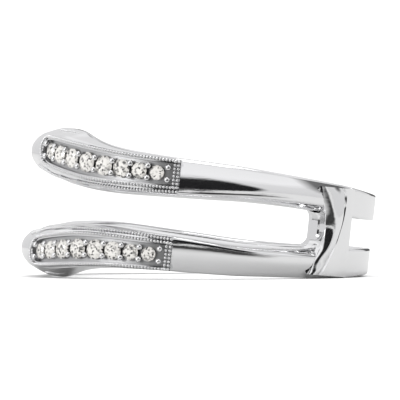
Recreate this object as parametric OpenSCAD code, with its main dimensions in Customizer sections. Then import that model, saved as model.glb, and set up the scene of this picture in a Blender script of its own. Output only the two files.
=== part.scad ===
// Ring guard: two bowed bands, soldered together by two bridges, with a slot
// between them for a plain ring with a tall centre stone.
// It lies on its side. The crown, where the bands bow apart, points to -X.

/* [Ring] */
// Inside diameter, a US size 7
bore_d = 17.3; // [15:0.1:19]
// Radius of the bands' outer face
band_r = 10.5; // [10.3:0.05:11]
// How far the bore sits towards the shank, which is thinner there than the crown
bore_shift = 0.2; // [0:0.05:0.3]
// How far the plain shank is set below the bands
shank_step = 0.14; // [0.05:0.01:0.25]
// Flat along the top of each band's ridge
ridge_flat = 0.3; // [0.1:0.05:0.4]
// Softening of the inside edges, for comfort
comfort = 0.16; // [0.05:0.01:0.25]

/* [Stones] */
// Size of the stones, as a share of the graded sizes below
stone_scale = 1; // [0.9:0.01:1.03]
// Free space round a stone in its seat
seat_gap = 0.03; // [0.02:0.01:0.05]

/* [Setting] */
// Angle at which a row's plate starts, near the crown
plate_start = 20.5; // [19:0.5:21]
// Angle at which the plate ends, on the shoulder
plate_end = 82; // [81:0.5:84]
// Depth of the channel between the plate's rims
channel_depth = 0.13; // [0.08:0.01:0.18]
// Width of the plate's rims
rim_w = 0.2; // [0.15:0.01:0.25]
// Radius of a prong's bead
prong_r = 0.15; // [0.12:0.01:0.18]
// Distance of a prong from the middle of its row
prong_out = 0.37; // [0.33:0.01:0.42]

/* [Bridges] */
// Angle from the crown to the slot's end
bridge_start = 134.5; // [132:0.5:136]
// Angle from the crown to the bridge's back edge
bridge_end = 148.5; // [147:0.5:150]
// Radius of the bridge's underside, clear of the finger
bridge_under_r = 9.4; // [9.2:0.05:9.6]

/* [Hidden] */
// Columns of band_rows: angle from the crown, then heights above the middle plane
// of the gap-side edge, the ridge, the outer face's far edge and the bore's far edge,
// and the radius of the outer face's far edge
angle = 0;
gap_h = 1;
ridge_h = 2;
edge_h = 3;
wall_h = 4;
edge_r = 5;
band_rows = [
    [  0, 1.85, 2.95, 3.98, 4.47,  9.86],
    [ 12, 1.82, 2.92, 3.94, 4.47,  9.86],
    [ 22, 1.66, 2.84, 3.93, 4.46,  9.90],
    [ 28, 1.48, 2.76, 3.98, 4.42,  9.94],
    [ 33, 1.35, 2.68, 3.97, 4.29, 10.00],
    [ 38, 1.21, 2.56, 3.87, 4.05, 10.06],
    [ 44, 1.10, 2.40, 3.74, 3.80, 10.08],
    [ 52, 0.99, 2.20, 3.57, 3.59, 10.10],
    [ 62, 0.95, 2.00, 3.43, 3.44, 10.10],
    [ 78, 1.04, 1.80, 3.29, 3.29, 10.10],
    [ 92, 1.13, 1.81, 3.22, 3.22, 10.10],
    [104, 1.21, 1.94, 3.15, 3.15, 10.10],
    [116, 1.20, 2.00, 3.02, 3.02, 10.10],
    [130, 1.13, 1.96, 2.88, 2.88, 10.12],
    [146, 0.96, 1.80, 2.72, 2.72, 10.16],
    [164, 0.87, 1.66, 2.49, 2.49, 10.20],
    [180, 0.83, 1.60, 2.39, 2.39, 10.22],
];
// Columns of plate_rows: angle, height of the row's middle, half its width
mid_h = 1;
half_w = 2;
plate_rows = [
    [19, 3.08, 0.55],
    [22, 3.05, 0.78],
    [26, 3.00, 0.90],
    [32, 2.89, 0.97],
    [40, 2.72, 1.01],
    [46, 2.60, 1.02],
    [54, 2.50, 0.99],
    [62, 2.44, 0.95],
    [70, 2.42, 0.92],
    [84, 2.41, 0.88],
];
// Columns of stones: angle of the stone from the crown, and its girdle
girdle = 1;
stones = [
    [27.7, 0.92],
    [33.8, 1.04],
    [40.4, 1.12],
    [47.6, 1.16],
    [54.9, 1.14],
    [61.7, 1.06],
    [68.1, 0.94],
    [74.3, 0.84],
];
stone_count = len(stones);
// The row's first and last prongs stand this far past its end stones
first_prong = 3.3;
last_prong = 3.7;
// Columns of dome_rows: height, then the angles of the dome's front and back edges
// and the radius of its top
front_a = 1;
back_a = 2;
top_r = 3;
dome_rows = [
    [-2.80, 129.6, 133.4, 10.60],
    [-2.40, 130.4, 135.0, 10.68],
    [-1.80, 131.6, 137.0, 10.66],
    [-0.90, 133.8, 139.6, 10.84],
    [ 0.00, 134.8, 141.4, 10.92],
    [ 0.90, 134.4, 142.8, 10.92],
    [ 1.80, 133.0, 143.2, 10.80],
    [ 2.40, 132.0, 142.6, 10.70],
    [ 2.80, 131.4, 140.4, 10.60],
];
bore_r = bore_d / 2;
// Outside radius of the gap-side edge: the ridge's inner slope ends here
gap_r = band_r - 0.62;
// The plates and bridges stand a little proud of the bands
plate_r = band_r + 0.05;
chamfer_bulge = 0.1;
outer_bulge = 0.12;
// Size of the shank's outer corners, and how full they are
shank_corner = 0.15;
shank_bulge = 0.04;
// Brilliant cut, as shares of the girdle's diameter
table_share = 0.57;
crown_share = 0.16;
pavilion_share = 0.42;
// The girdle sits this far below the bands' outer face
girdle_drop = 0.15;
band_step = 5;
plate_step = 3.42;
// Columns of ROWS: the row's name, 1 for the lower band, 1 for the ring's back half
ROWS = [
    ["upper_front", 0, 0],
    ["upper_back", 0, 1],
    ["lower_front", 1, 0],
    ["lower_back", 1, 1],
];

// Value of column c at x in a table whose first column rises, smooth between its rows
function row_before(rows, x) = max([for (i = [0:len(rows) - 2]) if (rows[i][0] <= x) i]);
function slope(rows, i, c) =
    i == 0 || i == len(rows) - 1 ? 0
    : (rows[i + 1][c] - rows[i - 1][c]) / (rows[i + 1][0] - rows[i - 1][0]);
function at(rows, x, c) =
    let (i = row_before(rows, x), h = rows[i + 1][0] - rows[i][0], t = (x - rows[i][0]) / h)
    rows[i][c] * (1 + 2 * t) * pow(1 - t, 2) + rows[i + 1][c] * (3 - 2 * t) * t * t
    + h * slope(rows, i, c) * t * pow(1 - t, 2) - h * slope(rows, i + 1, c) * t * t * (1 - t);

// A point at an angle from the crown, a radius and a height
function spot(a, r, h) = [-r * cos(a), -r * sin(a), h];
// Radius of the shifted bore at an angle from the crown
function bore_at(a) =
    -bore_shift * cos(a) + sqrt(pow(bore_r, 2) - pow(bore_shift * sin(a), 2));
// Angle from the crown on either side, from 0 to 180
function fold(a) = a > 180 ? 360 - a : a;
function face_r(a) = band_r - (fold(a) > bridge_end ? shank_step : 0);

// Outline of the upper band's section at an angle, as radius and height
function band_section(a) =
    let (
        f = fold(a),
        inner = bore_at(a),
        outer = face_r(a),
        gap = at(band_rows, f, gap_h),
        ridge = at(band_rows, f, ridge_h),
        edge = at(band_rows, f, edge_h),
        wall = at(band_rows, f, wall_h),
        shank = f > bridge_end,
        low_r = shank ? outer - shank_corner : gap_r,
        side_r = shank ? outer - shank_corner : at(band_rows, f, edge_r),
        low = shank ? gap + shank_corner : ridge - ridge_flat / 2,
        high = shank ? edge - shank_corner : ridge + ridge_flat / 2,
        low_bulge = shank ? shank_bulge : chamfer_bulge,
        high_bulge = shank ? shank_bulge : outer_bulge,
        middle = shank ? (edge + high) / 2 : (edge + ridge) / 2 + ridge_flat
    )
    [
        [inner, gap + comfort],
        [inner + comfort, gap],
        [low_r, gap],
        [(low_r + outer) / 2 + low_bulge, (gap + low) / 2 - low_bulge],
        [outer, low],
        [outer, high],
        [(outer + side_r) / 2 + high_bulge, middle + high_bulge],
        [side_r, edge],
        [inner + comfort, wall],
        [inner, wall - comfort]
    ];

// Skin between outlines of equal length; open sweeps get a cap at each end
module skin(rings, closed = false) {
    n = len(rings[0]);
    m = len(rings);
    steps = closed ? m : m - 1;
    sides = [for (i = [0:steps - 1], j = [0:n - 1])
        [i * n + j, i * n + (j + 1) % n, ((i + 1) % m) * n + (j + 1) % n, ((i + 1) % m) * n + j]];
    caps = closed ? [] : [[for (j = [n - 1:-1:0]) j], [for (j = [0:n - 1]) (m - 1) * n + j]];
    polyhedron([for (ring = rings, p = ring) p], concat(sides, caps), convexity = 8);
}

module upper_band() {
    skin([for (a = [0:band_step:359]) [for (p = band_section(a)) spot(a, p[0], p[1])]], closed = true);
}

// Angles from first to last in equal steps of about plate_step
function steps_between(first, last) =
    let (n = ceil((last - first) / plate_step)) [for (i = [0:n]) first + (last - first) * i / n];

// A block over one row of stones, from radius low to radius high, inset at its sides
module row_block(first, last, low, high, inset) {
    skin([for (a = steps_between(first, last))
        let (
            m = at(plate_rows, a, mid_h),
            w = at(plate_rows, a, half_w) - inset
        )
        [spot(a, low, m - w), spot(a, high, m - w), spot(a, high, m + w), spot(a, low, m + w)]
    ]);
}

// Plate of one row of stones
module plate() {
    row_block(plate_start, plate_end, band_r - 0.9, plate_r, 0);
}

// The sunk channel inside the plate's rims
module channel() {
    row_block(plate_start + 1.6, plate_end - 1.8, plate_r - channel_depth, plate_r + 0.3, rim_w);
}

function stone_angle(i) = stones[i - 1][angle];
function stone_d(i) = stones[i - 1][girdle] * stone_scale;

// Puts things made round the Z axis on a row, with Z pointing out of the ring
module on_row(a, out) {
    translate(spot(a, out, at(plate_rows, a, mid_h)))
        rotate([0, 0, a])
            rotate([0, -90, 0])
                children();
}

// The two beads between neighbouring stones, and at both ends of a row
module prongs() {
    angles = concat(
        [stones[0][angle] - first_prong],
        [for (i = [1:stone_count - 1]) (stone_angle(i) + stone_angle(i + 1)) / 2],
        [stones[stone_count - 1][angle] + last_prong]
    );
    for (a = angles, side = [-1, 1])
        on_row(a, band_r)
            translate([side * prong_out, 0, 0])
                hull() {
                    translate([0, 0, -0.4])
                        cylinder(r = prong_r, h = 0.34, $fn = 6);
                    translate([0, 0, 0.04])
                        cylinder(r = prong_r * 0.55, h = 0.04, $fn = 6);
                }
}

module brilliant(d) {
    color([0.93, 0.92, 0.9])
        union() {
            cylinder(d1 = d, d2 = d * table_share, h = d * crown_share, $fn = 8);
            translate([0, 0, -d * pavilion_share])
                cylinder(d1 = 0.02, d2 = d, h = d * pavilion_share, $fn = 8);
        }
}

// Room for a stone: its cone, and a straight way in from outside
module seat(d) {
    wide = d + 2 * seat_gap;
    translate([0, 0, -wide * pavilion_share])
        cylinder(d1 = 0.08, d2 = wide, h = wide * pavilion_share, $fn = 8);
    cylinder(d = wide, h = 0.6, $fn = 8);
}

module seats() {
    for (i = [1:stone_count])
        on_row(stone_angle(i), band_r - girdle_drop)
            seat(stone_d(i));
}

// Runs its children on both sides of the crown
module both_sides() {
    children();
    mirror([0, 1, 0])
        children();
}

// Bridge across the slot: a flat plate at the back and a domed loop in front of it.
// Its front face is rounded into the bands at the slot's end.
module bridge() {
    half = at(band_rows, bridge_end, edge_h) - 0.06;
    corner = 0.55;
    corner_turn = 9;
    arc = 6;
    steps = 20;
    skin([for (k = [0:steps])
        let (
            h = half * (2 * k / steps - 1),
            t = max(0, min(1, (abs(h) - corner) / 0.75)),
            front = bridge_start - corner_turn * (1 - sqrt(1 - t * t)),
            f = at(dome_rows, h, front_a),
            b = at(dome_rows, h, back_a),
            top = at(dome_rows, h, top_r) - plate_r
        )
        concat(
            [
                spot(front, bridge_under_r, h),
                spot((front + bridge_end) / 2, bridge_under_r, h),
                spot(bridge_end, bridge_under_r, h),
                spot(bridge_end, plate_r, h),
                spot((b + bridge_end) / 2, plate_r, h)
            ],
            [for (j = [0:arc])
                let (u = 180 * j / arc)
                spot((f + b) / 2 + (b - f) / 2 * cos(u), plate_r + max(0, top) * sin(u), h)],
            [spot(f + 0.4, band_r - 0.5, h), spot(front, band_r - 0.62, h)]
        )
    ]);
}

// The cast metal, in the ring's own frame with its axis along Z
module metal() {
    difference() {
        union() {
            for (side = [0, 1])
                mirror([0, 0, side]) {
                    upper_band();
                    both_sides() {
                        plate();
                        prongs();
                    }
                }
            both_sides()
                bridge();
        }
        for (side = [0, 1])
            mirror([0, 0, side])
                both_sides() {
                    channel();
                    seats();
                }
    }
}

// At rest the ring leans on the lower band: on its crown's bore edge on both sides,
// and on its outer edge at both bridges
crown_angle = 25;
rest_angle = 146;
crown_foot = [
    -(bore_at(crown_angle) + comfort) * cos(crown_angle),
    -at(band_rows, crown_angle, wall_h)
];
shank_foot = [
    -at(band_rows, rest_angle, edge_r) * cos(rest_angle),
    -at(band_rows, rest_angle, edge_h)
];
lean = atan2(shank_foot[1] - crown_foot[1], shank_foot[0] - crown_foot[0]);
// Depth of a point of the lower band below the ring's middle when it leans
function depth(a, r, h) = h * cos(lean) - r * cos(a) * sin(lean);
lift = max([for (a = [0:2:180]) max(
    depth(a, bore_at(a) + comfort, at(band_rows, a, wall_h)),
    depth(a, at(band_rows, a, edge_r), at(band_rows, a, edge_h))
)]);
shift_x = 0.115;

module at_rest() {
    translate([shift_x, 0, lift])
        rotate([0, lean, 0])
            children();
}

module ring_body() {
    color([0.82, 0.82, 0.83])
        at_rest()
            metal();
}

module stone(row, i) {
    at_rest()
        mirror([0, 0, row[1]])
            mirror([0, row[2], 0])
                on_row(stone_angle(i), band_r - girdle_drop)
                    brilliant(stone_d(i));
}

ring_body();
for (row = ROWS, i = [1:stone_count])
    stone(row, i);
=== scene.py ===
"""Looks of a ring guard: polished white gold, milgrain edges and rows of small brilliants."""

import math

import bpy
from mathutils import Matrix, Vector


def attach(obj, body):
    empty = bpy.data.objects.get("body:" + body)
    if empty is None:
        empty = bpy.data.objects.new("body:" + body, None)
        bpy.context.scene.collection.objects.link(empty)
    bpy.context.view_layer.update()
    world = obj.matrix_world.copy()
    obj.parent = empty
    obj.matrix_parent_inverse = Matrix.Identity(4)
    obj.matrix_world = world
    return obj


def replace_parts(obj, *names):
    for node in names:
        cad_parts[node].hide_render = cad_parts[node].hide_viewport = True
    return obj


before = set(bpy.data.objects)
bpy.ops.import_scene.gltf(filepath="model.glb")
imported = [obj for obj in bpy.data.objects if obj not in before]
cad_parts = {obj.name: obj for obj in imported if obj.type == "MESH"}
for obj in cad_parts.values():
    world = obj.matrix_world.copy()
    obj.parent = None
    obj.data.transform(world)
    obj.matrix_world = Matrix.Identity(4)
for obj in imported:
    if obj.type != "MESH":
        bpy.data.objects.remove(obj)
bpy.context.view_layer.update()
bpy.ops.object.select_all(action="DESELECT")

# Sizes of the ring, in millimetres and degrees. For the likeness the channel is deeper, its rims and
# the ridge's flat are wider, and the stones and prongs stand out more than in the solids
MM = 0.001
BAND_R = 10.5
PLATE_R = BAND_R + 0.05
GAP_R = BAND_R - 0.62
SHANK_R = BAND_R - 0.14
SHANK_CORNER = 0.15
BORE_R = 8.65
BORE_SHIFT = 0.2
COMFORT = 0.16
RIDGE_FLAT = 0.34
BRIDGE_START = 134.5
BRIDGE_END = 148.5
BRIDGE_UNDER_R = 9.4

# How the ring lies: it leans on the lower band's crown
LEAN = math.radians(6.0769)
LIFT = 3.59664
SHIFT_X = 0.115

# Powers of the outer face's curves, and the angles over which one form turns into the next
BEVEL_CURVE = 1.5
BEVEL_SWELL = 1.3
SWELL_STARTS = (20, 30)
SWELL_ENDS = (78, 96)
FAR_CURVE = 1.5
CROWN_CURVE = 2.2
CROWN_ENDS = (17, 27)

# The stone plates: their ends, where the dressed face begins and over which angles the rims rise
PLATE_START = 20.5
PLATE_END = 82.0
DRESSED_FROM = 17.9
RIMS_RISE = (PLATE_START - 2.5, PLATE_START + 4)
RIM_R = PLATE_R - 0.04
RIM_W = 0.27
RIM_MIDDLE = 0.12
RIM_SLOPE = 0.03
CHANNEL_DEPTH = 0.24
CHANNEL_EDGE = 0.025
# Half the channel's width at which it has its full depth
DEEP_HALF_W = 0.12
# The channel's crown end is round: where it starts to close, and over how many degrees
ROUND_FROM = 27.2
ROUND_LENGTH = 5.4

# Fillets of a band's corners, and how far its far side swells
BORE_FILLET = 0.1
WALL_FILLET = 0.12
GAP_FILLET = 0.06
EDGE_FILLET = 0.05
SIDE_SWELL = 0.03

# Steps along the outer face of a section. Every section has 23 points there, so that all join up
BEVEL_STEPS = 10
FAR_STEPS = 13
TURN_STEPS = 7
FLAT_STEPS = 9
DRESSED_BEVEL_STEPS = 6
DRESSED_FAR_STEPS = 5

# Stones, prongs and milgrain beads
GIRDLE_R = BAND_R - 0.06
STONE_SIZE = 1.04
STONE_TURN = 0.7
PRONG_R = 0.19
PRONG_SQUASH = 0.85
PRONG_OUT = 0.37
PRONG_BASE_R = BAND_R + 0.03
BEAD_R = 0.094
BEAD_PITCH = 0.2
BEAD_INSET = 0.09
BEAD_BASE_R = PLATE_R + 0.05

# Sections of a band: first angle, step and count, close together where the channel's end is round
SECTIONS = (
    (0, 0.5, 37),
    (18.25, 0.25, 40),
    (29.2, 1.2, 44),
    (83, 1.25, 53),
    (149.5, 1.25, 25),
)
# Single sections on both sides of a step: at the plate's square end, at the shank and at its middle
STEP_ANGLES = (
    PLATE_END - 0.35,
    PLATE_END - 0.3,
    PLATE_END,
    PLATE_END + 0.04,
    BRIDGE_END - 0.04,
    BRIDGE_END + 0.04,
    180,
)
# angle, gap edge, ridge, outer face's far edge, bore's far edge, radius of the far edge
BAND_ROWS = (
    (0, 1.85, 2.95, 3.98, 4.47, 9.86),
    (12, 1.82, 2.92, 3.94, 4.47, 9.86),
    (22, 1.66, 2.84, 3.93, 4.46, 9.90),
    (28, 1.48, 2.76, 3.98, 4.42, 9.94),
    (33, 1.35, 2.68, 3.97, 4.29, 10.00),
    (38, 1.21, 2.56, 3.87, 4.05, 10.06),
    (44, 1.10, 2.40, 3.74, 3.80, 10.08),
    (52, 0.99, 2.20, 3.57, 3.59, 10.10),
    (62, 0.95, 2.00, 3.43, 3.44, 10.10),
    (78, 1.04, 1.80, 3.29, 3.29, 10.10),
    (92, 1.13, 1.81, 3.22, 3.22, 10.10),
    (104, 1.21, 1.94, 3.15, 3.15, 10.10),
    (116, 1.20, 2.00, 3.02, 3.02, 10.10),
    (130, 1.13, 1.96, 2.88, 2.88, 10.12),
    (146, 0.96, 1.80, 2.72, 2.72, 10.16),
    (164, 0.87, 1.66, 2.49, 2.49, 10.20),
    (180, 0.83, 1.60, 2.39, 2.39, 10.22),
)
GAP_H, RIDGE_H, EDGE_H, WALL_H, EDGE_R = 1, 2, 3, 4, 5
# angle, height of the row's middle, half its width
PLATE_ROWS = (
    (19, 3.08, 0.55),
    (22, 3.05, 0.78),
    (26, 3.00, 0.90),
    (32, 2.89, 0.97),
    (40, 2.72, 1.01),
    (46, 2.60, 1.02),
    (54, 2.50, 0.99),
    (62, 2.44, 0.95),
    (70, 2.42, 0.92),
    (84, 2.41, 0.88),
)
MIDDLE_H, HALF_W = 1, 2
# angle, girdle
STONES = (
    (27.7, 0.92),
    (33.8, 1.04),
    (40.4, 1.12),
    (47.6, 1.16),
    (54.9, 1.14),
    (61.7, 1.06),
    (68.1, 0.94),
    (74.3, 0.84),
)
# height, front and back angle of the dome, radius of its top
DOME_ROWS = (
    (-2.80, 129.6, 133.4, 10.60),
    (-2.40, 130.4, 135.0, 10.68),
    (-1.80, 131.6, 137.0, 10.66),
    (-0.90, 133.8, 139.6, 10.84),
    (0.00, 134.8, 141.4, 10.92),
    (0.90, 134.4, 142.8, 10.92),
    (1.80, 133.0, 143.2, 10.80),
    (2.40, 132.0, 142.6, 10.70),
    (2.80, 131.4, 140.4, 10.60),
)
DOME_FRONT, DOME_BACK, DOME_R = 1, 2, 3
# angle, height of the milgrain row along the gap side
OUTER_BEADS = (
    (14, 2.02),
    (18, 1.90),
    (25, 1.70),
    (32, 1.55),
    (43, 1.38),
    (53, 1.31),
    (63, 1.27),
    (70, 1.30),
    (81, 1.40),
)
BEAD_H = 1
BANDS = (("upper", 1), ("lower", -1))
HALVES = (("front", 1), ("back", -1))


def at(rows, x, column):
    """Smooth value of a table's column at x."""
    x = min(max(x, rows[0][0]), rows[-1][0])
    i = max(k for k in range(len(rows) - 1) if rows[k][0] <= x)

    def slope(k):
        if k in (0, len(rows) - 1):
            return 0.0
        return (rows[k + 1][column] - rows[k - 1][column]) / (rows[k + 1][0] - rows[k - 1][0])

    span = rows[i + 1][0] - rows[i][0]
    t = (x - rows[i][0]) / span
    return (
        rows[i][column] * (1 + 2 * t) * (1 - t) ** 2
        + rows[i + 1][column] * (3 - 2 * t) * t * t
        + span * slope(i) * t * (1 - t) ** 2
        - span * slope(i + 1) * t * t * (1 - t)
    )


def smooth_step(x, low, high):
    """0 below low, 1 above high and a smooth rise between them."""
    t = min(max((x - low) / (high - low), 0.0), 1.0)
    return t * t * (3 - 2 * t)


def fold(angle):
    """Angle from the crown on either side, from 0 to 180."""
    angle = abs(angle) % 360
    return 360 - angle if angle > 180 else angle


def spot(angle, radius, height):
    """A point of the leaning ring, in metres, from its angle from the crown, radius and height."""
    a = math.radians(angle)
    x, y = -radius * math.cos(a), -radius * math.sin(a)
    return Vector((
        x * math.cos(LEAN) + height * math.sin(LEAN) + SHIFT_X,
        y,
        -x * math.sin(LEAN) + height * math.cos(LEAN) + LIFT,
    )) * MM


def ring_place(point):
    """Folded angle from the crown, radius and height of a point of the leaning ring."""
    x, y, z = point / MM
    x, z = x - SHIFT_X, z - LIFT
    x, z = x * math.cos(LEAN) - z * math.sin(LEAN), x * math.sin(LEAN) + z * math.cos(LEAN)
    return fold(math.degrees(math.atan2(-y, -x))), math.hypot(x, y), z


def bore_at(angle):
    """Radius of the bore, whose centre is a little nearer the shank than the outer face's."""
    a = math.radians(angle)
    return -BORE_SHIFT * math.cos(a) + math.sqrt(BORE_R ** 2 - (BORE_SHIFT * math.sin(a)) ** 2)


def rounded(corners, steps=3):
    """Outline through the corners (r, h, fillet), each rounded by its fillet with a short arc."""
    points = []
    n = len(corners)
    for i in range(n):
        before, here, after = (Vector(corners[(i + k) % n][:2]) for k in (-1, 0, 1))
        size = corners[i][2]
        if not size:
            points.append(here)
            continue
        a = (before - here).normalized() * min(size, 0.45 * (before - here).length)
        b = (after - here).normalized() * min(size, 0.45 * (after - here).length)
        for k in range(steps + 1):
            t = k / steps
            points.append(here + a * (1 - t) ** 2 + b * t ** 2)
    return points


def face_radius(angle, height):
    """Radius of the plain outer face: round at the crown, ridged beside the rows, flat at the shank."""
    f = fold(angle)
    gap, ridge, edge = (at(BAND_ROWS, f, c) for c in (GAP_H, RIDGE_H, EDGE_H))
    if f > BRIDGE_END:
        inset = max(0.0, SHANK_CORNER - max(0.0, min(height - gap, edge - height)))
        return SHANK_R - SHANK_CORNER + math.sqrt(SHANK_CORNER ** 2 - inset ** 2)
    side = at(BAND_ROWS, f, EDGE_R)
    low = ridge - RIDGE_FLAT
    if height <= low:
        t = max(0.0, (height - gap) / (low - gap))
        swell = smooth_step(f, *SWELL_STARTS) - smooth_step(f, *SWELL_ENDS)
        ridged = BAND_R - (BAND_R - GAP_R) * (1 - t) ** (BEVEL_CURVE + BEVEL_SWELL * swell)
    elif height <= ridge:
        ridged = BAND_R
    else:
        t = min(1.0, (height - ridge) / (edge - ridge))
        ridged = BAND_R - (BAND_R - side) * t ** FAR_CURVE
    u = (height - (gap + edge) / 2) / ((edge - gap) / 2)
    end = GAP_R if u < 0 else side
    smooth = BAND_R - (BAND_R - end) * min(abs(u), 1.0) ** CROWN_CURVE
    share = 1 - smooth_step(f, *CROWN_ENDS)
    return ridged + (smooth - ridged) * share


def face_points(angle, low, high, count):
    """Points of the outer face between two heights, the lower end left out."""
    heights = [low + (high - low) * k / count for k in range(1, count + 1)]
    return [(face_radius(angle, h), h) for h in heights]


def round_end(f, length):
    """Share of its width that a row still has at an angle where its crown end is round."""
    if f >= ROUND_FROM:
        return 1.0
    return math.sqrt(max(0.0, 1 - ((ROUND_FROM - f) / length) ** 2))


def channel_half(f):
    """Half the width of the stones' channel, closing to a round end near the crown."""
    return max(0.0, (at(PLATE_ROWS, f, HALF_W) - RIM_W) * round_end(f, ROUND_LENGTH))


def dressed_points(angle):
    """The outer face beside the stones: bevel, rim, sunk channel, rim and the far edge."""
    f = fold(angle)
    gap, edge = at(BAND_ROWS, f, GAP_H), at(BAND_ROWS, f, EDGE_H)
    middle = at(PLATE_ROWS, f, MIDDLE_H)
    fade = smooth_step(f, *RIMS_RISE)
    channel = channel_half(f)
    sunk = CHANNEL_DEPTH * min(1.0, channel / DEEP_HALF_W)

    def rim_r(h):
        base = face_radius(angle, h)
        return base + fade * (RIM_R - base)

    low_foot = middle - channel - RIM_W - RIM_SLOPE
    high_foot = min(middle + channel + RIM_W + RIM_SLOPE, edge - 0.06)
    lip = min(middle + channel + RIM_W, high_foot - 0.02)
    floor_r = rim_r(middle) - sunk
    points = face_points(angle, gap, low_foot, DRESSED_BEVEL_STEPS)
    for out in (RIM_W, RIM_MIDDLE, CHANNEL_EDGE):
        h = middle - channel - out
        points.append((rim_r(h), h))
    for share in (-1, -0.5, 0, 0.5, 1):
        points.append((floor_r, middle + channel * share))
    for h in (middle + channel + CHANNEL_EDGE, middle + channel + RIM_MIDDLE, lip):
        points.append((rim_r(h), h))
    points.append((face_radius(angle, high_foot), high_foot))
    return points + face_points(angle, high_foot, edge, DRESSED_FAR_STEPS)


def plain_points(angle):
    """The outer face away from the stones."""
    f = fold(angle)
    gap, ridge, edge = (at(BAND_ROWS, f, c) for c in (GAP_H, RIDGE_H, EDGE_H))
    if f <= BRIDGE_END:
        low = ridge - RIDGE_FLAT
        return face_points(angle, gap, low, BEVEL_STEPS) + face_points(angle, low, edge, FAR_STEPS)
    quarter = [math.pi / 2 * k / TURN_STEPS for k in range(TURN_STEPS + 1)]
    turn = [SHANK_CORNER * (1 - math.cos(a)) for a in quarter]
    flat = edge - gap - 2 * SHANK_CORNER
    heights = [gap + step for step in turn[1:]]
    heights += [gap + SHANK_CORNER + flat * k / FLAT_STEPS for k in range(1, FLAT_STEPS)]
    heights += [edge - step for step in reversed(turn)]
    return [(face_radius(angle, h), h) for h in heights]


def band_outline(angle, dressed):
    """Section of the upper band as (radius, height) points. A dressed one has the stone channel."""
    f = fold(angle)
    inner = bore_at(angle)
    gap, edge, wall = (at(BAND_ROWS, f, c) for c in (GAP_H, EDGE_H, WALL_H))
    face = dressed_points(angle) if dressed else plain_points(angle)
    gap_radius = GAP_R if f <= BRIDGE_END else SHANK_R - SHANK_CORNER
    side = face[-1][0]
    swell = SIDE_SWELL * (f < BRIDGE_END)
    corners = [
        (inner, gap + COMFORT, BORE_FILLET),
        (inner + COMFORT, gap, BORE_FILLET),
        (gap_radius, gap, GAP_FILLET),
    ]
    corners += [(r, h, 0.0) for r, h in face[:-1]]
    corners += [
        (*face[-1], EDGE_FILLET),
        ((side + inner + COMFORT) / 2, (edge + wall) / 2 + swell, 0.0),
        (inner + COMFORT, wall, WALL_FILLET),
        (inner, wall - COMFORT, BORE_FILLET),
    ]
    return rounded(corners)


def skin(name, rings, closed=False, angle=35):
    """A mesh tube through equally long rings of points: a circle is spun, its points are moved home."""
    n, m = len(rings[0]), len(rings)
    turn = 2 * math.pi if closed else math.pi
    steps = m if closed else m - 1
    bpy.ops.mesh.primitive_circle_add(
        vertices=n, radius=0.2, location=(1, 0, 0), rotation=(math.pi / 2, 0, 0)
    )
    piece = bpy.context.object
    piece.name = piece.data.name = name
    bpy.ops.object.transform_apply(location=True, rotation=True, scale=True)
    bpy.ops.object.mode_set(mode="EDIT")
    bpy.ops.mesh.select_all(action="SELECT")
    bpy.ops.mesh.spin(
        steps=steps, angle=turn, center=(0, 0, 0), axis=(0, 0, 1), use_auto_merge=closed
    )
    bpy.ops.mesh.select_all(action="SELECT")
    bpy.ops.mesh.remove_doubles(threshold=1e-5)
    bpy.ops.object.mode_set(mode="OBJECT")
    start = None
    for v in piece.data.vertices:
        x, y, z = v.co
        k = abs(math.atan2(y, x)) if not closed else math.atan2(y, x) % (2 * math.pi)
        k = round(k / (turn / steps)) % m
        local = math.atan2(z, math.hypot(x, y) - 1)
        if start is None:
            start = local
        j = round((local - start) / (2 * math.pi / n)) % n
        v.co = rings[k][j]
    bpy.ops.object.mode_set(mode="EDIT")
    bpy.ops.mesh.select_all(action="SELECT")
    if not closed:
        bpy.ops.mesh.fill_holes(sides=0)
        bpy.ops.mesh.select_all(action="SELECT")
    bpy.ops.mesh.remove_doubles(threshold=1e-7)
    bpy.ops.mesh.normals_make_consistent(inside=False)
    bpy.ops.object.mode_set(mode="OBJECT")
    bpy.ops.object.shade_smooth_by_angle(angle=math.radians(angle))
    piece.select_set(False)
    return piece


def copies(name, pattern, places):
    """One piece made of copies of a pattern, each put in its own place."""
    made = []
    for place in places:
        copy = pattern.copy()
        copy.data = pattern.data.copy()
        bpy.context.scene.collection.objects.link(copy)
        copy.data.transform(place)
        made.append(copy)
    bpy.ops.object.select_all(action="DESELECT")
    for copy in made:
        copy.select_set(True)
    bpy.context.view_layer.objects.active = made[0]
    bpy.ops.object.join()
    piece = bpy.context.object
    piece.name = piece.data.name = name
    bpy.ops.object.select_all(action="DESELECT")
    return piece


def stand(angle, radius, height, side, half, size=1.0):
    """Matrix that puts a thing on the ring, its Z out of the ring and its X up the finger's axis."""
    base = spot(angle * half, radius, height * side)
    out = (spot(angle * half, radius + 1, height * side) - base).normalized()
    up = (spot(angle * half, radius, height * side + 1) - base).normalized()
    across = out.cross(up)
    turn = Matrix((up, across, out)).transposed().to_4x4()
    return Matrix.Translation(base) @ turn @ Matrix.Scale(size, 4)


# Materials


def add_node(tree, kind, values=None, sources=None, **settings):
    """A shader node with its settings, the plain values of its inputs and what is linked to them."""
    node = tree.nodes.new("ShaderNode" + kind)
    for name, setting in settings.items():
        setattr(node, name, setting)
    for socket, value in (values or {}).items():
        node.inputs[socket].default_value = value
    for socket, source in (sources or {}).items():
        tree.links.new(source, node.inputs[socket])
    return node


def grey_stops(ramp, stops, tint=(1, 1, 1)):
    """Puts greys on a colour ramp, each stop a position and a value, all under one tint."""
    elements = ramp.color_ramp.elements
    while len(elements) < len(stops):
        elements.new(0.5)
    for element, (position, value) in zip(elements, stops):
        element.position = position
        element.color = (*(value * part for part in tint), 1)


def new_material(name):
    """A material, its node tree and its shader's inputs."""
    material = bpy.data.materials.new(name)
    material.use_nodes = True
    tree = material.node_tree
    return material, tree, tree.nodes["Principled BSDF"].inputs


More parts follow.
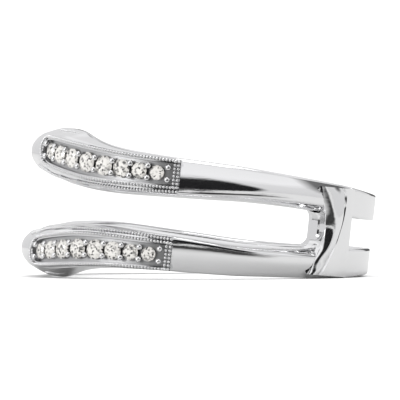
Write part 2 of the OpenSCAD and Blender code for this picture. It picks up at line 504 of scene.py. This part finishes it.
def finish_group():
    """Fine polish marks and a faint change of tone, shared by the metal's finishes."""
    group = bpy.data.node_groups.new("polish_marks", "ShaderNodeTree")
    sockets = (
        ("Colour", "INPUT", "Color"),
        ("Tone", "INPUT", "Float"),
        ("Roughness", "INPUT", "Float"),
        ("Marks", "INPUT", "Float"),
        ("Bump", "INPUT", "Float"),
        ("Colour", "OUTPUT", "Color"),
        ("Roughness", "OUTPUT", "Float"),
        ("Normal", "OUTPUT", "Vector"),
    )
    for name, way, kind in sockets:
        group.interface.new_socket(name, in_out=way, socket_type="NodeSocket" + kind)
    given = group.nodes.new("NodeGroupInput").outputs
    out = group.nodes.new("NodeGroupOutput").inputs
    place = add_node(group, "TexCoord").outputs["Object"]

    # Clouds about 2 mm across, and marks that run round the ring
    cloud = add_node(group, "TexNoise", {"Scale": 420, "Detail": 3}, {"Vector": place})
    stretch = add_node(group, "Mapping", {"Scale": (900, 900, 5200)}, {"Vector": place})
    marks = add_node(
        group, "TexNoise", {"Scale": 1.0, "Detail": 4}, {"Vector": stretch.outputs["Vector"]}
    )

    level = add_node(group, "Math", {0: 1.0}, {1: given["Tone"]}, operation="SUBTRACT")
    shade = add_node(
        group,
        "Math",
        sources={0: cloud.outputs["Fac"], 1: given["Tone"], 2: level.outputs["Value"]},
        operation="MULTIPLY_ADD",
    )
    tint = add_node(
        group,
        "VectorMath",
        sources={0: given["Colour"], "Scale": shade.outputs["Value"]},
        operation="SCALE",
    )
    rough = add_node(
        group,
        "Math",
        sources={0: marks.outputs["Fac"], 1: given["Marks"], 2: given["Roughness"]},
        operation="MULTIPLY_ADD",
    )
    bump = add_node(
        group,
        "Bump",
        {"Distance": 0.00002},
        {"Strength": given["Bump"], "Height": marks.outputs["Fac"]},
    )
    group.links.new(tint.outputs["Vector"], out["Colour"])
    group.links.new(rough.outputs["Value"], out["Roughness"])
    group.links.new(bump.outputs["Normal"], out["Normal"])
    return group


POLISH = finish_group()


def metal(name, grey, tone, roughness, marks, bump):
    """White gold of one grey, with its share of tone change, roughness, polish marks and relief."""
    material, tree, shader = new_material(name)
    shader["Metallic"].default_value = 1.0
    values = {
        "Colour": (grey, grey, grey + 0.005, 1),
        "Tone": tone,
        "Roughness": roughness,
        "Marks": marks,
        "Bump": bump,
    }
    finish = add_node(tree, "Group", values, node_tree=POLISH)
    tree.links.new(finish.outputs["Colour"], shader["Base Color"])
    tree.links.new(finish.outputs["Roughness"], shader["Roughness"])
    tree.links.new(finish.outputs["Normal"], shader["Normal"])
    return material


def diamond():
    """Small brilliants: warm white, with painted reflections: grey and dark flashes the size of their
    facets painted into the colour.
    """
    material, tree, shader = new_material("brilliant")
    shader["Transmission Weight"].default_value = 0.3
    shader["IOR"].default_value = 2.2
    shader["Roughness"].default_value = 0.02
    place = add_node(tree, "TexCoord").outputs["Object"]
    # Painted reflections: every facet-sized cell gets a black, grey, light or white flash in the colour
    facets = add_node(tree, "TexVoronoi", {"Scale": 8800}, {"Vector": place})
    split = add_node(tree, "SeparateColor", sources={"Color": facets.outputs["Color"]})
    painted_sparkle = add_node(tree, "ValToRGB", sources={"Fac": split.outputs["Red"]})
    painted_sparkle.color_ramp.interpolation = "CONSTANT"
    grey_stops(painted_sparkle, ((0.0, 0.04), (0.10, 0.32), (0.27, 0.70), (0.46, 0.96)), (1, 0.975, 0.93))
    tree.links.new(painted_sparkle.outputs["Color"], shader["Base Color"])
    return material


WHITE_GOLD = metal("polished_white_gold", 0.86, 0.03, 0.05, 0.05, 0.12)
BEAD_GOLD = metal("milgrain_white_gold", 0.86, 0.05, 0.10, 0.08, 0.15)
# Painted shade: a mid grey where shade falls in the channel, and a near-black grey for the shade
# between the stones and under the milgrain beads
CHANNEL_PAINTED_SHADE = metal("painted_channel_shade", 0.54, 0.15, 0.24, 0.15, 0.3)
DARK_PAINTED_SHADE = metal("dark_painted_shade", 0.17, 0.15, 0.30, 0.15, 0.3)
STONE = diamond()
# Places of the painted shade among a band's materials: the channel's, and the darker one between the
# stones and under the beads
CHANNEL_SHADE_SLOT = 1
DARK_SHADE_SLOT = 2


def dress(piece, material):
    """Gives a piece its material, and lets it ride on the ring."""
    piece.data.materials.clear()
    piece.data.materials.append(material)
    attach(piece, "root")
    return piece


# The two bands


def band_angles():
    """Angles of the band's sections, all the way round."""
    near = list(STEP_ANGLES)
    for first, step, count in SECTIONS:
        near += [first + step * k for k in range(count)]
    near = sorted(set(round(a, 3) for a in near))
    return near + [360 - a for a in reversed(near) if 0 < a < 180]


def make_band(name, side):
    """A band: the upper one as the tables say, the lower one its mirror image."""
    rings = []
    for a in band_angles():
        outline = band_outline(a, DRESSED_FROM <= fold(a) <= PLATE_END)
        rings.append([spot(a, p[0], p[1] * side) for p in outline])
    return skin("band_" + name, rings, closed=True, angle=32)


def shade_recesses(band):
    """Paints shade into the sunk channel, and darker painted shade between the stones and on the strips
    under the beads.
    """
    outer_face_r = 10.0
    stones_half_w = 0.4
    beads_half_w = 0.1
    band.data.materials.append(CHANNEL_PAINTED_SHADE)
    band.data.materials.append(DARK_PAINTED_SHADE)
    for face in band.data.polygons:
        f, r, h = ring_place(face.center)
        if not PLATE_START < f < PLATE_END - 0.2 or r < outer_face_r:
            continue
        half = at(PLATE_ROWS, f, HALF_W) * round_end(f, ROUND_LENGTH + 1.1)
        away = abs(abs(h) - at(PLATE_ROWS, f, MIDDLE_H))
        channel = channel_half(f)
        between_stones = away < stones_half_w and STONES[0][0] < f < STONES[-1][0]
        under_outer_beads = abs(abs(h) - at(OUTER_BEADS, f, BEAD_H)) < beads_half_w
        # Painted shade: darkest between the stones and under the beads, lighter in the rest of the
        # channel
        if between_stones:
            face.material_index = DARK_SHADE_SLOT
        elif away < channel + 0.02:
            face.material_index = CHANNEL_SHADE_SLOT
        elif channel + 0.1 < away < half or under_outer_beads:
            face.material_index = DARK_SHADE_SLOT


bands = [make_band(name, side) for name, side in BANDS]
for band in bands:
    dress(band, WHITE_GOLD)
    shade_recesses(band)
    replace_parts(band, "ring_body")

# The bridges: steps across and round the dome, the window's end and the dome's form
BRIDGE_STEPS = 72
DOME_STEPS = 20
WINDOW_STRAIGHT = 0.55
WINDOW_CORNER_H = 0.75
WINDOW_CORNER_TURN = 9
DOME_CURVE = 1.7
DOME_SINK = 0.04
DOME_RISE = 0.1


def make_bridge(name, half):
    """A bridge from band to band: its block, the flat plate behind and the domed loop over it."""
    top_h = at(BAND_ROWS, BRIDGE_END, EDGE_H) - 0.06
    rings = []
    for k in range(BRIDGE_STEPS + 1):
        h = top_h * (2 * k / BRIDGE_STEPS - 1)
        t = min(max((abs(h) - WINDOW_STRAIGHT) / WINDOW_CORNER_H, 0), 1)
        front = BRIDGE_START - WINDOW_CORNER_TURN * (1 - math.sqrt(1 - t * t))
        f, b = at(DOME_ROWS, h, DOME_FRONT), at(DOME_ROWS, h, DOME_BACK)
        top = max(0.0, at(DOME_ROWS, h, DOME_R) - PLATE_R)
        ring = [
            (front, BRIDGE_UNDER_R),
            ((front + BRIDGE_END) / 2, BRIDGE_UNDER_R),
            (BRIDGE_END, BRIDGE_UNDER_R),
            (BRIDGE_END, PLATE_R - 0.05),
            (BRIDGE_END - 0.08, PLATE_R - 0.015),
            (BRIDGE_END - 0.25, PLATE_R),
            (b + (BRIDGE_END - b) * 0.5, PLATE_R),
            (b + 0.9, PLATE_R),
            (b + 0.3, PLATE_R - 0.1),
        ]
        for j in range(DOME_STEPS + 1):
            u = math.pi * j / DOME_STEPS
            lift = (top + DOME_RISE) * math.sin(u) ** DOME_CURVE
            ring.append(((f + b) / 2 + (b - f) / 2 * math.cos(u), PLATE_R - DOME_SINK + lift))
        over_band = abs(h) > at(BAND_ROWS, f, GAP_H)
        under = face_radius((front + f) / 2, abs(h)) - 0.08 if over_band else BAND_R
        ring += [
            (f + 0.1, min(PLATE_R - 0.2, under)),
            (f + 0.2, min(BAND_R - 0.5, under - 0.1)),
            (front, min(BAND_R - 0.58, under - 0.2)),
            (front, min(BAND_R - 0.7, under - 0.3)),
        ]
        rings.append([spot(a * half, r, h) for a, r in ring])
    return skin("bridge_" + name, rings, angle=40)


for name, half in HALVES:
    dress(make_bridge(name, half), WHITE_GOLD)

# Prongs, milgrain and stones


def bead(radius, squash, segments, rings):
    """A polished bead, a little flat against what it sits on."""
    bpy.ops.mesh.primitive_uv_sphere_add(segments=segments, ring_count=rings, radius=radius * MM)
    piece = bpy.context.object
    bpy.ops.object.mode_set(mode="EDIT")
    bpy.ops.mesh.select_all(action="SELECT")
    bpy.ops.transform.resize(value=(1, 1, squash))
    bpy.ops.object.mode_set(mode="OBJECT")
    bpy.ops.object.shade_smooth()
    piece.select_set(False)
    return piece


def brilliant():
    """A round brilliant of girdle 1 mm: rings of corners wrapped by their convex hull."""
    # corners, radius, height, turn: table, star facets, girdle above and below, pavilion, culet
    rings = (
        (8, 0.285, 0.150, 0.0),
        (8, 0.400, 0.090, 22.5),
        (16, 0.500, 0.012, 0.0),
        (16, 0.500, -0.012, 0.0),
        (8, 0.120, -0.335, 22.5),
        (8, 0.004, -0.425, 0.0),
    )
    made = []
    for corners, radius, height, turned in rings:
        bpy.ops.mesh.primitive_circle_add(
            vertices=corners,
            radius=radius * MM,
            location=(0, 0, height * MM),
            rotation=(0, 0, math.radians(turned)),
        )
        made.append(bpy.context.object)
    for ring in made:
        ring.select_set(True)
    bpy.ops.object.join()
    bpy.ops.object.transform_apply(location=True, rotation=True, scale=True)
    bpy.ops.object.mode_set(mode="EDIT")
    bpy.ops.mesh.select_all(action="SELECT")
    bpy.ops.mesh.convex_hull(delete_unused=True, join_triangles=True)
    bpy.ops.mesh.normals_make_consistent(inside=False)
    bpy.ops.object.mode_set(mode="OBJECT")
    piece = bpy.context.object
    piece.select_set(False)
    return piece


def row_of_beads(first, last, height_at, radius_at):
    """Angle, radius and height of beads laid at an even pitch along a row."""
    placed = []
    step = 0.2
    a = first
    while a <= last:
        h = height_at(a)
        placed.append((a, radius_at(a, h), h))
        rise = (height_at(a + step) - h) / (math.radians(step) * BAND_R)
        a += math.degrees(BEAD_PITCH / BAND_R) / math.sqrt(1 + rise * rise)
    return placed


def rim_beads():
    """The two rows of milgrain beads along the rims of a channel."""
    placed = []
    for sign in (1, -1):
        placed += row_of_beads(
            ROUND_FROM,
            PLATE_END - 0.9,
            lambda a: at(PLATE_ROWS, a, MIDDLE_H) + sign * (at(PLATE_ROWS, a, HALF_W) - BEAD_INSET),
            lambda a, h: BEAD_BASE_R,
        )
    return placed


def gap_side_beads():
    """The row of milgrain beads on the bevel, along the gap side."""
    return row_of_beads(
        OUTER_BEADS[0][0],
        PLATE_END - 0.5,
        lambda a: at(OUTER_BEADS, a, BEAD_H),
        lambda a, h: face_radius(a, h) + 0.07,
    )


def round_end_beads():
    """The arc of milgrain beads round the channel's crown end."""
    placed = []
    turn_step = 13.2
    length = ROUND_LENGTH + 0.55
    reach = at(PLATE_ROWS, ROUND_FROM, HALF_W) - BEAD_INSET
    for k in range(-6, 7):
        turn = math.radians(turn_step * k)
        a = ROUND_FROM - length * math.cos(turn)
        placed.append((a, BEAD_BASE_R, at(PLATE_ROWS, a, MIDDLE_H) + reach * math.sin(turn)))
    return placed


def crest_beads():
    """The small beads on the crest beside the crown, each with its size after its place."""
    placed = []
    first, step, count = 16.5, 1.25, 14
    crest_r = 9.2
    share_to_bore = 0.64
    size = 0.6
    for k in range(count):
        a = first + step * k
        edge, wall = at(BAND_ROWS, a, EDGE_H), at(BAND_ROWS, a, WALL_H)
        placed.append((a, crest_r, edge + (wall - edge) * share_to_bore, size))
    return placed


def square_end_beads():
    """The two short lines of milgrain beads across the plate's square end."""
    placed = []
    middle, half = at(PLATE_ROWS, 80.5, MIDDLE_H), at(PLATE_ROWS, 80.5, HALF_W)
    count = 8
    for a in (PLATE_END - 0.65, PLATE_END - 1.85):
        for k in range(count):
            placed.append((a, BEAD_BASE_R, middle + (half - 0.12) * (2 * k / (count - 1) - 1)))
    return placed


def prong_angles():
    """Angles of a row's prongs: before the first stone, between the stones and after the last."""
    angles = [angle for angle, girdle in STONES]
    between = [(a + b) / 2 for a, b in zip(angles, angles[1:])]
    return [angles[0] - 3.3] + between + [angles[-1] + 3.7]


def dress_row(band_name, side, half_name, half):
    """The prongs, the milgrain and the stones of one row."""
    row = band_name + "_" + half_name
    places = []
    for a in prong_angles():
        h = at(PLATE_ROWS, a, MIDDLE_H)
        for out in (-PRONG_OUT, PRONG_OUT):
            places.append(stand(a, PRONG_BASE_R, h + out, side, half))
    dress(copies("prongs_" + row, prong_bead, places), WHITE_GOLD)

    beads = rim_beads() + gap_side_beads() + round_end_beads() + crest_beads() + square_end_beads()
    places = [stand(a, r, h, side, half, *size) for a, r, h, *size in beads]
    dress(copies("milgrain_" + row, grain, places), BEAD_GOLD)

    for i, (a, girdle) in enumerate(STONES):
        node = "stone_%s_%d" % (row, i + 1)
        place = stand(a, GIRDLE_R, at(PLATE_ROWS, a, MIDDLE_H), side, half)
        place = place @ Matrix.Rotation(STONE_TURN * i + half, 4, "Z")
        place = place @ Matrix.Scale(girdle * STONE_SIZE, 4)
        stone = copies(node.replace("stone", "brilliant"), cut, [place])
        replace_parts(dress(stone, STONE), node)


prong_bead = bead(PRONG_R, PRONG_SQUASH, 16, 10)
grain = bead(BEAD_R, 1.0, 10, 6)
cut = brilliant()
for band_name, side in BANDS:
    for half_name, half in HALVES:
        dress_row(band_name, side, half_name, half)
for pattern in (prong_bead, grain, cut):
    bpy.data.objects.remove(pattern)

# Floor, light and camera


def make_floor():
    """A plain white table. Reflections alone see a dark oval on it, in front of the ring."""
    bpy.ops.mesh.primitive_plane_add(size=6, location=(0, 0, 0))
    floor = bpy.context.object
    floor.name = "floor"
    white = (0.93, 0.93, 0.93, 1)
    reach_x, reach_y = 0.045, 0.03
    material, tree, shader = new_material("white_table")
    shader["Roughness"].default_value = 0.9
    shader["Specular IOR Level"].default_value = 0.0
    oval = add_node(
        tree,
        "Mapping",
        {"Location": (0, 1.53, 0), "Scale": (1 / reach_x, 1 / reach_y, 0)},
        {"Vector": add_node(tree, "TexCoord").outputs["Object"]},
    )
    reach = add_node(tree, "VectorMath", sources={0: oval.outputs["Vector"]}, operation="LENGTH")
    fall = add_node(
        tree,
        "MapRange",
        {"From Min": 0.75, "From Max": 1.05, "To Min": 0.03, "To Max": 0.55},
        {"Value": reach.outputs["Value"]},
    )
    glossy = add_node(tree, "LightPath").outputs["Is Glossy Ray"]
    tone = add_node(
        tree, "Mix", {"A": white}, {"Factor": glossy, "B": fall.outputs["Result"]}, data_type="RGBA"
    )
    tree.links.new(tone.outputs["Result"], shader["Base Color"])
    floor.data.materials.append(material)


def dark_patch(tree, direction, axes, sky):
    """The sky with a dark patch in front, as wide as the unlit room behind the camera."""
    centre = (0.04, 0, 0.16)
    half_w, half_h = 0.66, 0.35
    shift = add_node(tree, "VectorMath", {1: centre}, {0: direction}, operation="SUBTRACT")
    scale = add_node(
        tree,
        "VectorMath",
        {1: (1 / half_w, 0, 1 / half_h)},
        {0: shift.outputs["Vector"]},
        operation="MULTIPLY",
    )
    reach = add_node(tree, "VectorMath", sources={0: scale.outputs["Vector"]}, operation="LENGTH")
    outside = add_node(
        tree, "MapRange", {"From Min": 0.85, "From Max": 1.0}, {"Value": reach.outputs["Value"]}
    )
    behind = add_node(
        tree, "MapRange", {"From Min": -0.05, "From Max": 0.05}, {"Value": axes["Y"]}
    )
    lit = add_node(
        tree,
        "Math",
        sources={0: outside.outputs["Result"], 1: behind.outputs["Result"]},
        operation="MAXIMUM",
    )
    mixed = add_node(
        tree,
        "Mix",
        {"A": (0.015, 0.015, 0.016, 1)},
        {"Factor": lit.outputs["Value"], "B": sky},
        data_type="RGBA",
    )
    return mixed.outputs["Result"]


def back_wall(tree, axes, sky):
    """The sky with the unlit wall far behind, which draws the dark lines along rounded edges."""
    turn = add_node(tree, "MapRange", {"From Min": -1.0}, {"Value": axes["Y"]})
    wall = add_node(tree, "ValToRGB", sources={"Fac": turn.outputs["Result"]})
    grey_stops(wall, ((0.0, 1.0), (0.925, 1.0), (0.95, 0.12)))
    right = add_node(tree, "Math", {1: 0.1}, {0: axes["X"]}, operation="GREATER_THAN")
    mixed = add_node(
        tree,
        "Mix",
        sources={"Factor": right.outputs["Value"], "A": sky, "B": wall.outputs["Color"]},
        data_type="RGBA",
        blend_type="MULTIPLY",
    )
    return mixed.outputs["Result"]


def dark_card(tree, direction, sky):
    """The sky with a darker card high at the right, seen in the upper part of the bridge's dome."""
    card = add_node(
        tree, "VectorMath", {1: (0.80, 0.30, 0.50)}, {0: direction}, operation="DISTANCE"
    )
    fade = add_node(
        tree,
        "MapRange",
        {"From Min": 0.22, "From Max": 0.42, "To Min": 0.18},
        {"Value": card.outputs["Value"]},
    )
    mixed = add_node(
        tree,
        "Mix",
        {"Factor": 1.0},
        {"A": sky, "B": fade.outputs["Result"]},
        data_type="RGBA",
        blend_type="MULTIPLY",
    )
    return mixed.outputs["Result"]


def make_studio():
    """White light all round. Reflections alone see a sky with darker places in it."""
    world = bpy.data.worlds.new("studio")
    bpy.context.scene.world = world
    world.use_nodes = True
    tree = world.node_tree
    direction = add_node(tree, "TexCoord").outputs["Generated"]
    axes = add_node(tree, "SeparateXYZ", sources={"Vector": direction}).outputs
    ramp = add_node(tree, "ValToRGB", sources={"Fac": axes["Z"]})
    stops = ((0.0, 0.74), (0.45, 0.80), (0.55, 1.0), (0.72, 0.95), (0.86, 0.66), (1.0, 0.74))
    grey_stops(ramp, stops, (1, 1, 1.01))
    sky = dark_patch(tree, direction, axes, ramp.outputs["Color"])
    sky = back_wall(tree, axes, sky)
    sky = dark_card(tree, direction, sky)
    glossy = add_node(tree, "LightPath").outputs["Is Glossy Ray"]
    seen = add_node(
        tree, "Mix", {"A": (1.25, 1.25, 1.25, 1)}, {"Factor": glossy, "B": sky}, data_type="RGBA"
    )
    background = tree.nodes["Background"].inputs
    tree.links.new(seen.outputs["Result"], background["Color"])
    background["Strength"].default_value = 1.0


def area(name, energy, size, location):
    """A square lamp, in watts and metres, that shines on the ring."""
    light = bpy.data.lights.new(name, "AREA")
    light.energy = energy
    light.size = size
    lamp = bpy.data.objects.new(name, light)
    bpy.context.scene.collection.objects.link(lamp)
    lamp.location = location
    lamp.rotation_euler = (-Vector(location)).to_track_quat("-Z", "Y").to_euler()


def make_camera():
    """The camera at the photograph's angle, its lens chosen by how wide one pixel is at the ring."""
    pixel = 0.0601
    picture_w = 400
    pixels_above_middle = 16.3
    distance = 0.5
    sensor_w = 36
    elevation = math.radians(0.6)
    aim = Vector((SHIFT_X - 0.02, 0, LIFT + pixels_above_middle * pixel)) * MM
    data = bpy.data.cameras.new("camera")
    data.sensor_width = sensor_w
    data.lens = sensor_w * distance / (picture_w * pixel * MM)
    data.clip_start = 0.01
    data.clip_end = 20
    camera = bpy.data.objects.new("camera", data)
    bpy.context.scene.collection.objects.link(camera)
    camera.location = aim + Vector((0, -math.cos(elevation), math.sin(elevation))) * distance
    camera.rotation_euler = (aim - camera.location).to_track_quat("-Z", "Y").to_euler()
    bpy.context.scene.camera = camera


make_floor()
make_studio()
area("top_box", 0.6, 0.25, (0.0, 0.05, 0.4))
area("left_box", 0.25, 0.12, (-0.35, -0.25, 0.12))
make_camera()
bpy.context.scene.view_settings.view_transform = "Standard"
